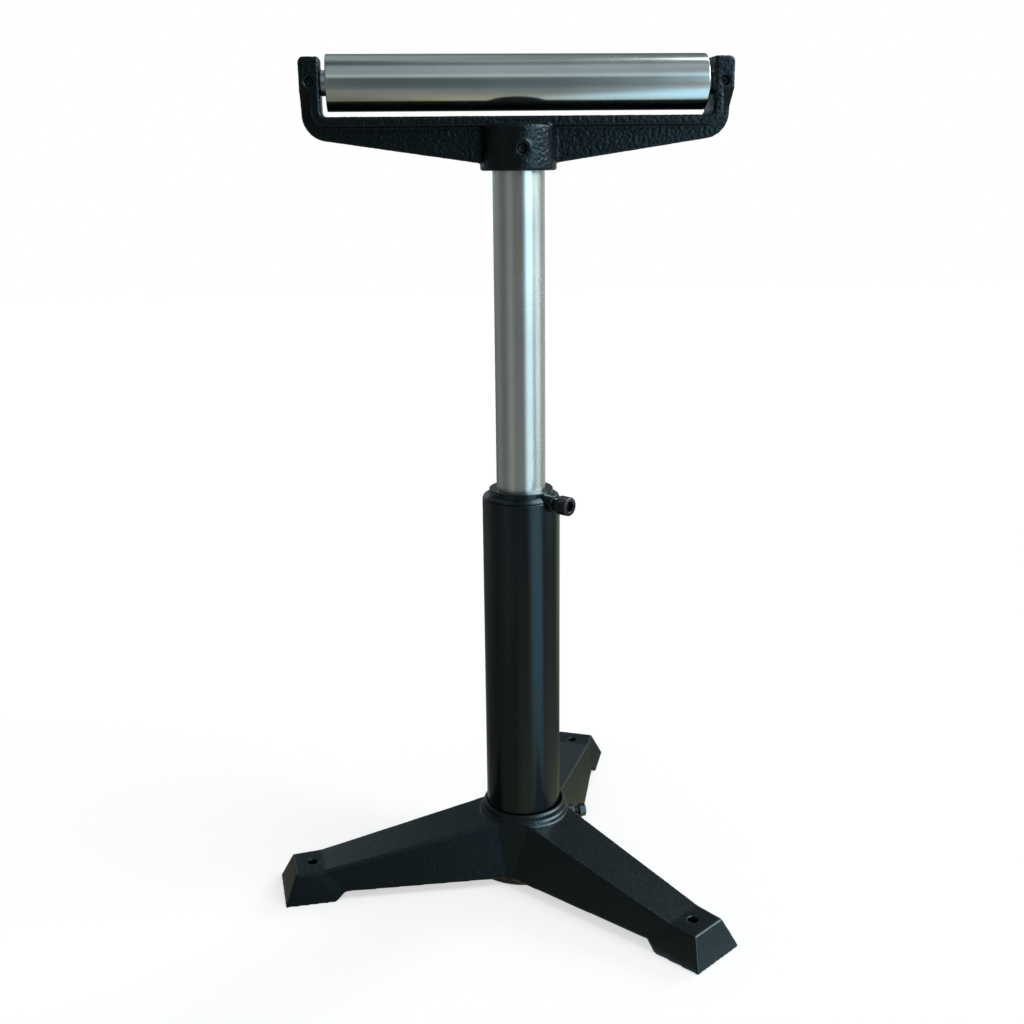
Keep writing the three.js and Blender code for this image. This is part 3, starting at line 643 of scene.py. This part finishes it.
def base_casting():
    column_radius = span("column_tube", COLUMN_LINE)[2]
    spots = [outward(azimuth) * ANCHOR_RADIUS for azimuth in LEG_AZIMUTHS]
    anchors = [BASE_LINE @ Matrix.Translation(spot) for spot in spots]
    rounds = [(BASE_LINE, LARGE_SIDES, 0, HUB_RADIUS)]
    rounds.append((BOLT_LINE, SCREW_SIDES, BOLT_BOSS / 2 - 0.2 * MM, BOLT_BOSS / 2 + 0.1 * MM))
    for anchor in anchors:
        rounds.append((anchor, SCREW_SIDES, 0, ANCHOR_HOLE / 2 + 0.1 * MM))
    bores = [(BASE_LINE, column_radius + SOCKET_GAP)]
    bores += [(anchor, ANCHOR_HOLE / 2) for anchor in anchors]
    limbs = (BASE_LINE, LEG_START, LEG_SOFTENING)
    piece = cast("base_casting", BASE_VOXEL, BASE_SOFTENING, BASE_GRAIN, rounds, bores, limbs)
    dress(piece, "base_casting")


def yoke_casting():
    post_radius = span("post", COLUMN_LINE)[2]
    hub_radius = 35.2 * MM
    axle_radius = span("axle_shaft", ROLLER_LINE)[2]
    rounds = [(COLUMN_LINE, LARGE_SIDES, 0, hub_radius)]
    rounds.append((HUB_SCREW_LINE, SCREW_SIDES, 0, HUB_SCREW_BOSS / 2 + 0.1 * MM))
    rounds.append((ROLLER_LINE, BEARING_SIDES, 0, axle_radius + 0.4 * MM))
    bores = [(COLUMN_LINE, post_radius + SCREW_GAP)]
    bores.append((HUB_SCREW_LINE, 4.6 * MM))
    bores.append((ROLLER_LINE @ Matrix.Translation((0, 0, -1)), axle_radius + FIT))
    for line in ARM_SCREW_LINES.values():
        rounds.append((line, SCREW_SIDES, 0, COUNTERSINK_RADIUS))
        bores.append((line, COUNTERSINK_RADIUS - 0.3 * MM))
    piece = cast("yoke_casting", YOKE_VOXEL, YOKE_SOFTENING, YOKE_GRAIN, rounds, bores)
    dress(piece, "yoke_casting")
    piece.data.materials[0] = casting_paint("yoke_paint", 0.27, 0.16 * MM, 0.2 * MM)


# Column, bush and post

def column_tube():
    start, end, radius = span("column_tube", COLUMN_LINE)
    bore = radius - COLUMN_WALL
    corners = [
        (bore, start, 0.5 * MM),
        (radius, start, 0.5 * MM),
        (radius, end, COLUMN_EDGE),
        (bore, end, 0.8 * MM),
    ]
    tube = turned("column_tube_painted", eased(corners), COLUMN_LINE, hollow=True)
    notch = rod("notch", CLAMP_BOSS / 2 + SCREW_GAP, 0, 2 * radius, CLAMP_LINE)
    dress(combined(tube, notch, "DIFFERENCE"), "column_tube")


def guide_bush():
    end = span("guide_bush", COLUMN_LINE)[1]
    rim, radius = span("column_tube", COLUMN_LINE)[1:]
    post_radius = span("post", COLUMN_LINE)[2]
    outside = radius - COLUMN_WALL - FIT
    flange = radius - BUSH_INSET
    corners = [
        (post_radius + FIT, rim - BUSH_LENGTH, 0),
        (outside, rim - BUSH_LENGTH, 0.6 * MM),
        (outside, rim + BUSH_REST, 0),
        (flange, rim + BUSH_REST, 0.2 * MM),
        (flange, rim + BUSH_REST + 1.0 * MM, 0.6 * MM),
        (BUSH_SHOULDER_RADIUS, rim + BUSH_SHOULDER, 0.8 * MM),
        (COLLAR_RADIUS, rim + BUSH_SHOULDER, 0.5 * MM),
        (COLLAR_RADIUS, end, 0.9 * MM),
        (post_radius + FIT, end, 0.5 * MM),
    ]
    bush = turned("guide_bush_turned", eased(corners), COLUMN_LINE, hollow=True)
    reach = radius + CLAMP_BOSS_STAND
    inside = post_radius + 1 * MM
    boss_corners = [
        (0, inside, 0),
        (CLAMP_BOSS / 2, inside, 0),
        (CLAMP_BOSS / 2, reach, 1.2 * MM),
        (0, reach, 0),
    ]
    boss = turned("boss", eased(boss_corners), CLAMP_LINE)
    bush = combined(bush, boss, "UNION")
    bore = rod("bore", CLAMP_THREAD / 2 + SCREW_GAP, 0, 2 * radius, CLAMP_LINE)
    dress(combined(bush, bore, "DIFFERENCE"), "guide_bush")


def post():
    start, end, radius = span("post", COLUMN_LINE)
    corners = [(radius - POST_WALL, start, POST_EDGE), (radius, start, POST_EDGE)]
    for clip in ("retaining_ring_lower", "retaining_ring_upper"):
        low, high, _ = span(clip, COLUMN_LINE)
        corners += [
            (radius, low - CLIP_GAP, 0),
            (radius - GROOVE_DEPTH, low - CLIP_GAP, 0),
            (radius - GROOVE_DEPTH, high + CLIP_GAP, 0),
            (radius, high + CLIP_GAP, 0),
        ]
    corners += [(radius, end, POST_EDGE), (radius - POST_WALL, end, POST_EDGE)]
    dress(turned("post_ground", eased(corners), COLUMN_LINE, hollow=True), "post")


# Roller and axle

def roller_tube():
    start, end, radius = span("roller_tube", ROLLER_LINE)
    race_start, _, race_radius = span("bearing_outer_race_right", ROLLER_LINE)
    seat = race_radius + FIT
    bore = seat - ROLLER_SHOULDER
    shoulder = race_start - FIT
    half = [
        (bore, shoulder, 0),
        (seat, shoulder, 0),
        (seat, end, 0.5 * MM),
        (radius, end, ROLLER_EDGE),
    ]
    mirrored = [(around, -place, ease) for around, place, ease in reversed(half)]
    piece = turned("roller_tube_ground", eased(half + mirrored), ROLLER_LINE, hollow=True)
    dress(piece, "roller_tube")
    piece.data.materials[0] = ground_steel("roller_steel", "X", 1, 0.25, 0.15)


def axle_shaft():
    start, end, radius = span("axle_shaft", ROLLER_LINE)
    half = [(radius, end, AXLE_EDGE), (CENTRE_HOLE, end, 0), (0, end - CENTRE_HOLE, 0)]
    mirrored = [(around, -place, ease) for around, place, ease in reversed(half)]
    dress(turned("axle_shaft_turned", eased(mirrored + half), ROLLER_LINE), "axle_shaft")


def axle_spacer(side):
    name = f"axle_spacer_{side}"
    start, end, radius = span(name, ROLLER_LINE)
    inner = span("axle_shaft", ROLLER_LINE)[2] + FIT
    corners = [
        (inner, start, 0),
        (radius, start, SPACER_EDGE),
        (radius, end, SPACER_EDGE),
        (inner, end, 0),
    ]
    dress(turned(name + "_turned", eased(corners), ROLLER_LINE, hollow=True), name)


# Screws

def clamp_screw():
    start, end, radius = span("clamp_screw", CLAMP_LINE)
    thread = CLAMP_THREAD / 2
    head = end - CLAMP_HEAD_LENGTH
    edge = 1.2 * MM
    knurl_start = head + 1.2 * MM
    knurl_end = end - 2.2 * MM
    rings = [(0, start), (thread - 1.4 * MM, start)]
    rings += threaded(thread, CLAMP_PITCH, start + 1 * MM, head - 0.2 * MM)
    rings += [(thread, head), (radius - 0.5 * MM, head), (radius, head + 0.5 * MM), (radius, knurl_start)]
    rings += [(knurled(radius), knurl_start + 0.5 * MM), (knurled(radius), knurl_end - 0.5 * MM)]
    rings += [(radius, knurl_end), (radius, end - edge)]
    rings += [(radius - 0.35 * edge, end - 0.3 * edge), (radius - edge, end)]
    rings += [(hexagon(CLAMP_SOCKET) + 0.4 * MM, end), (hexagon(CLAMP_SOCKET), end - 0.4 * MM)]
    rings += [(hexagon(CLAMP_SOCKET), end - CLAMP_SOCKET_DEPTH), (0, end - CLAMP_SOCKET_DEPTH - 1 * MM)]
    dress(turned("clamp_screw_knurled", rings, CLAMP_LINE), "clamp_screw")


def column_bolt():
    start, end, _ = span("column_bolt", BOLT_LINE)
    thread = BOLT_THREAD / 2
    head = end - BOLT_HEAD
    corner = BOLT_FLATS / 2 / math.cos(math.pi / 6)
    chamfer = 0.6 * (corner - BOLT_FLATS / 2)
    rings = [(0, start), (thread - 0.9 * MM, start)]
    rings += threaded(thread, BOLT_PITCH, start + 0.7 * MM, head - 0.5 * MM)
    rings += [(thread, head - 0.3 * MM), (BOLT_FLATS / 2 - 0.3 * MM, head - 0.3 * MM)]
    rings += [(BOLT_FLATS / 2 - 0.3 * MM, head), (hexagon(BOLT_FLATS), head)]
    for step in range(EASE_STEPS + 1):
        share = step / EASE_STEPS
        cone = corner - share * (corner - BOLT_FLATS / 2 + 0.3 * MM)
        rings.append((np.minimum(hexagon(BOLT_FLATS), cone), end - chamfer * (1 - share)))
    rings += [(0, end)]
    dress(turned("column_bolt_forged", rings, BOLT_LINE), "column_bolt")


def set_screw(name, line, pitch, socket):
    start, end, radius = span(name, line)
    depth = (end - start) / 2
    rings = [(0, start), (0.6 * radius, start)]
    rings += threaded(radius, pitch, start + 0.5 * MM, end - 0.6 * MM)
    rings += [(radius - 0.5 * pitch, end), (hexagon(socket) + 0.3 * MM, end)]
    rings += [(hexagon(socket), end - 0.3 * MM), (hexagon(socket), end - depth), (0, end - depth - 0.5 * MM)]
    dress(turned(name + "_threaded", rings, line), name)


base_casting()
yoke_casting()
column_tube()
guide_bush()
post()
roller_tube()
axle_shaft()
clamp_screw()
column_bolt()
set_screw("yoke_set_screw", HUB_SCREW_LINE, HUB_SCREW_PITCH, HUB_SCREW_SOCKET)
for side, line in ARM_SCREW_LINES.items():
    set_screw(f"axle_set_screw_{side}", line, ARM_SCREW_PITCH, ARM_SCREW_SOCKET)
    axle_spacer(side)

# CAD nodes that stay as they are get the finish of their slot
for name, shown in frame["nodes"].items():
    for material_slot in shown.material_slots:
        material_slot.material = finishes[slot_of[name]]


# Studio

def background_seen(tree):
    """1 for the rays that see the background itself: camera, glossy and transmission rays."""
    path = node(tree, "LightPath").outputs
    seen = node(tree, "Math", {0: path["Is Camera Ray"], 1: path["Is Glossy Ray"]}, operation="ADD")
    both = {0: seen.outputs["Value"], 1: path["Is Transmission Ray"]}
    return node(tree, "Math", both, operation="ADD", use_clamp=True).outputs["Value"]


def world():
    made = bpy.data.worlds.new("studio")
    bpy.context.scene.world = made
    made.use_nodes = True
    tree = made.node_tree
    tree.nodes.clear()
    light = node(tree, "Background", {"Color": (0.93, 0.97, 1.0, 1), "Strength": 0.4})
    white = node(tree, "Background", {"Color": (1, 1, 1, 1), "Strength": 1})
    seen = background_seen(tree)
    mix = node(tree, "MixShader", {0: seen, 1: light.outputs[0], 2: white.outputs[0]})
    node(tree, "OutputWorld", {"Surface": mix.outputs[0]})


def floor():
    size = 6
    mesh = bpy.data.meshes.new("floor")
    corners = [(-size, -size, 0), (size, -size, 0), (size, size, 0), (-size, size, 0)]
    mesh.from_pydata(corners, [], [(0, 1, 2, 3)])
    material = bpy.data.materials.new("pale_floor")
    material.use_nodes = True
    tree = material.node_tree
    tree.nodes.clear()
    matt = node(tree, "BsdfDiffuse", {"Color": (0.5, 0.5, 0.5, 1)})
    seen = product(tree, background_seen(tree), 0.6)
    glow = node(tree, "Emission", {"Color": (1, 1, 1, 1), "Strength": seen})
    both = node(tree, "AddShader", {0: matt.outputs[0], 1: glow.outputs[0]})
    node(tree, "OutputMaterial", {"Surface": both.outputs[0]})
    mesh.materials.append(material)
    linked("floor", mesh)


def sun(name, azimuth, elevation, strength, angle, colour):
    lamp = bpy.data.lights.new(name, "SUN")
    lamp.energy = strength
    lamp.angle = math.radians(angle)
    lamp.color = colour
    made = linked(name, lamp)
    towards = outward(azimuth) * math.cos(math.radians(elevation)) + UP * math.sin(math.radians(elevation))
    made.rotation_euler = towards.to_track_quat("Z", "Y").to_euler()
    lamp.specular_factor = 0.15


# What the metal and paint reflect, as (degrees, colour): heights on the front and the back wall, and
# windows by their azimuth, where 0 is the front and positive is to the right, each with its own heights
FRONT_WALL = [
    (-89, (1.5, 1.45, 0.70)),
    (-86, (1.5, 1.46, 0.68)),
    (-82, (0.50, 0.52, 0.36)),
    (-66, (0.46, 0.48, 0.35)),
    (-48, (0.335, 0.36, 0.29)),
    (-35, (0.245, 0.265, 0.22)),
    (-24, (0.15, 0.185, 0.18)),
    (-15, (0.03, 0.06, 0.09)),
    (-3, (0.005, 0.015, 0.03)),
    (12, (0.01, 0.03, 0.035)),
    (19, (0.04, 0.065, 0.075)),
    (25, (0.48, 0.61, 0.64)),
    (29, (0.60, 0.74, 0.77)),
    (36, (0.36, 0.45, 0.53)),
    (52, (0.39, 0.48, 0.53)),
    (66, (0.39, 0.50, 0.62)),
    (73, (0.18, 0.24, 0.25)),
    (79, (0.135, 0.185, 0.19)),
    (88, (0.34, 0.45, 0.48)),
]
BACK_WALL = [
    (-87, (0.40, 0.43, 0.30)),
    (-60, (0.14, 0.16, 0.13)),
    (-30, (0.08, 0.10, 0.09)),
    (-8, (0.11, 0.14, 0.14)),
    (5, (0.27, 0.36, 0.41)),
    (12, (0.15, 0.20, 0.235)),
    (26, (0.09, 0.13, 0.15)),
    (42, (0.17, 0.225, 0.24)),
    (58, (0.32, 0.40, 0.42)),
    (74, (0.28, 0.40, 0.44)),
    (88, (0.34, 0.45, 0.48)),
]
BEHIND = [(-180, 1), (-120, 1), (-60, 0), (60, 0), (120, 1), (180, 1)]
CURTAIN = [
    (-180, 1.2),
    (-150, 1.2),
    (-125, 0.4),
    (-28, 0.4),
    (-6, 1),
    (120, 1),
    (146, 0.8),
    (166, 0.8),
    (180, 1.2),
]
LEFT_WINDOW = [
    (-150, 0),
    (-119, 0.22),
    (-98, 0.14),
    (-79, 0.12),
    (-64, 0.21),
    (-49, 0.36),
    (-35, 0.26),
    (-21, 0.14),
    (-6, 0.15),
    (0, 0.07),
    (8, 0),
]
LEFT_HEIGHTS = [(-60, 0.2), (-40, 0.5), (-25, 1), (8, 1), (20, 0.4), (40, 0)]
FIRST_WINDOW = [
    (-4, 0),
    (2, 0.05),
    (9, 0.10),
    (13, 0.20),
    (18, 0.45),
    (27, 1.12),
    (52, 1.2),
    (57, 0.4),
    (62, 0.06),
    (70, 0),
]
FIRST_HEIGHTS = [(-30, 0), (-16, 1), (8, 1), (20, 0.4), (40, 0)]
FLOOR_GLOW = [(17, 0), (26, 1.3), (53, 1.4), (62, 0)]
FLOOR_HEIGHTS = [(-85, 0.08), (-60, 0.36), (-40, 0.85), (-27, 1), (-15, 0)]
HEAD_GLOW = [(20, 0), (27, 3.4), (52, 3.4), (60, 0)]
HEAD_HEIGHTS = [(0, 0), (6, 1), (26, 1), (40, 0)]
SECOND_WINDOW = [(58, 0), (67, 0.4), (74, 1.5), (90, 1.5), (100, 0.8), (112, 0.3), (125, 0)]
SECOND_HEIGHTS = [(-22, 0.1), (-13, 1), (-9, 1), (-3, 0.38), (40, 0.3), (65, 0)]
LAMP = [(54, 0), (62, 11), (104, 11), (114, 0)]
LAMP_HEIGHTS = [(11, 0), (16, 1), (42, 1), (50, 0)]
HIGH_LAMP = [(96, 0), (104, 8), (128, 8), (136, 0)]
HIGH_HEIGHTS = [(46, 0), (52, 1), (68, 1), (74, 0)]
LOW_LAMP = [(-166, 0), (-160, 0.7), (-146, 0.7), (-138, 0)]
LOW_HEIGHTS = [(4, 0), (9, 1), (20, 1), (27, 0)]
BACK_GLOW = [(112, 0), (126, 0.36), (142, 0.58), (165, 0)]
BACK_HEIGHTS = [(-60, 0), (-30, 0.8), (-10, 0.8), (5, 0.6), (18, 0)]
LEFT_TINT = (0.86, 1.0, 0.98)
WINDOW_TINT = (0.8, 1.0, 1.08)
COLD_TINT = (0.5, 1.0, 1.42)
BACK_TINT = (0.98, 1.0, 0.80)
TENT_HEIGHT = 0.55
TENT_RADIUS = 3
TENT_TOP = 3.5


def tent():
    """Grey walls and tall windows round the stand, seen only in its reflections."""
    rings = [(0, 1 * MM), (TENT_RADIUS, 1 * MM), (TENT_RADIUS, TENT_TOP), (0, TENT_TOP)]
    piece = turned("reflections", rings, Matrix.Identity(4))
    piece.modifiers.clear()
    material = bpy.data.materials.new("reflections")
    material.use_nodes = True
    tree = material.node_tree
    tree.nodes.clear()
    place = node(tree, "NewGeometry").outputs["Position"]
    centre = {0: place, 1: (0, 0, TENT_HEIGHT)}
    away = node(tree, "VectorMath", centre, operation="SUBTRACT").outputs["Vector"]
    unit = node(tree, "VectorMath", {0: away}, operation="NORMALIZE").outputs["Vector"]
    axes = node(tree, "SeparateXYZ", {"Vector": unit}).outputs
    height = node(tree, "Math", {0: axes["Z"]}, operation="ARCSINE").outputs["Value"]
    forward = product(tree, axes["Y"], -1)
    azimuth = node(tree, "Math", {0: axes["X"], 1: forward}, operation="ARCTAN2").outputs["Value"]

    def by_angle(angle, limit, stops, tint=(1, 1, 1)):
        """A ramp over an angle from -limit to limit degrees; its stops hold colours or levels."""
        inputs = {"Value": angle, "From Min": -math.radians(limit), "From Max": math.radians(limit)}
        share = node(tree, "MapRange", inputs).outputs["Result"]
        shades = []
        for degrees, level in stops:
            colour = level if isinstance(level, tuple) else tuple(level * part for part in tint)
            shades.append(((degrees + limit) / (2 * limit), colour))
        return ramp(tree, share, shades)

    def mixed(kind, factor, first, second):
        inputs = {"Fac": factor, "Color1": first, "Color2": second}
        return node(tree, "MixRGB", inputs, blend_type=kind).outputs["Color"]

    front = by_angle(height, 90, FRONT_WALL)
    back = by_angle(height, 90, BACK_WALL)
    walls = mixed("MIX", by_angle(azimuth, 180, BEHIND), front, back)
    total = mixed("MULTIPLY", 1, walls, by_angle(azimuth, 180, CURTAIN))
    windows = [
        (LEFT_WINDOW, LEFT_HEIGHTS, LEFT_TINT),
        (FIRST_WINDOW, FIRST_HEIGHTS, WINDOW_TINT),
        (FLOOR_GLOW, FLOOR_HEIGHTS, COLD_TINT),
        (HEAD_GLOW, HEAD_HEIGHTS, COLD_TINT),
        (SECOND_WINDOW, SECOND_HEIGHTS, WINDOW_TINT),
        (LAMP, LAMP_HEIGHTS, WINDOW_TINT),
        (HIGH_LAMP, HIGH_HEIGHTS, WINDOW_TINT),
        (LOW_LAMP, LOW_HEIGHTS, WINDOW_TINT),
        (BACK_GLOW, BACK_HEIGHTS, BACK_TINT),
    ]
    for azimuths, heights, tint in windows:
        glow = mixed("MULTIPLY", 1, by_angle(azimuth, 180, azimuths, tint), by_angle(height, 90, heights))
        total = mixed("ADD", 1, total, glow)
    shine = node(tree, "Emission", {"Color": total, "Strength": 1})
    node(tree, "OutputMaterial", {"Surface": shine.outputs[0]})
    piece.data.materials.append(material)
    piece.visible_camera = False
    piece.visible_diffuse = False
    piece.visible_transmission = False
    piece.visible_shadow = False


world()
floor()
tent()
sun("key", -15, 52, 1.3, 30, (0.95, 0.98, 1.0))
sun("back", 40, 30, 0.8, 25, (0.98, 1.0, 0.94))


# Camera

def camera():
    heading = Vector((math.sin(CAMERA_YAW), math.cos(CAMERA_YAW), 0))
    ahead = heading * math.cos(CAMERA_PITCH) - UP * math.sin(CAMERA_PITCH)
    level = Vector((heading.y, -heading.x, 0))
    below = ahead.cross(level)
    right = level * math.cos(CAMERA_ROLL) + below * math.sin(CAMERA_ROLL)
    down = below * math.cos(CAMERA_ROLL) - level * math.sin(CAMERA_ROLL)
    turn = Matrix((right, -down, -ahead)).transposed().to_4x4()
    lens = bpy.data.cameras.new("camera")
    lens.lens = CAMERA_LENS
    lens.sensor_width = CAMERA_SENSOR
    lens.shift_y = CAMERA_SHIFT
    made = linked("camera", lens)
    made.matrix_world = Matrix.Translation(CAMERA_PLACE) @ turn
    bpy.context.scene.camera = made


camera()
bpy.context.scene.view_settings.view_transform = "Standard"
